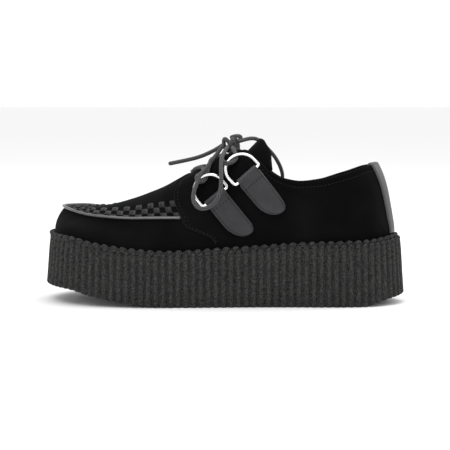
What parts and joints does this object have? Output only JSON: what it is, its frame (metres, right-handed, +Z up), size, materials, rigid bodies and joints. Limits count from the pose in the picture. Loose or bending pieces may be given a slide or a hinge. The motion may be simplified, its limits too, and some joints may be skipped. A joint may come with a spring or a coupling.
{
  "type": "creeper shoe",
  "caption": "Low suede creeper shoe on a thick ribbed platform sole, with round laces through D-rings on leather tabs, a woven apron band and a back strap.",
  "frame": {"origin": "centre of the bounding box's footprint, on the floor under the sole", "axes": "+X towards the heel, +Y towards the inner side, +Z up"},
  "size_m": [0.298, 0.1065, 0.1369],
  "materials": {
    "leather": "semi-gloss black",
    "lining": "matte lining",
    "lace": "round woven lace",
    "rubber": "fine crepe, matte",
    "nickel": "polished nickel wire",
    "suede": "black suede"
  },
  "bodies": {
    "root": {"apron_piping": "leather", "back_strap": "leather", "insole": "lining", "lace_bar": "lace", "lace_cross": "lace", "lace_end_inner": "lace", "lace_end_outer": "lace", "lace_knot": "lace", "lace_loop_far": "lace", "lace_loop_near": "lace", "outsole": "rubber", "ring_inner_lower": "nickel", "ring_inner_upper": "nickel", "ring_outer_lower": "nickel", "ring_outer_upper": "nickel", "tab_inner_lower": "leather", "tab_inner_upper": "leather", "tab_outer_lower": "leather", "tab_outer_upper": "leather", "tongue": "suede", "upper": "suede", "welt": "rubber"}
  },
  "joints": []
}
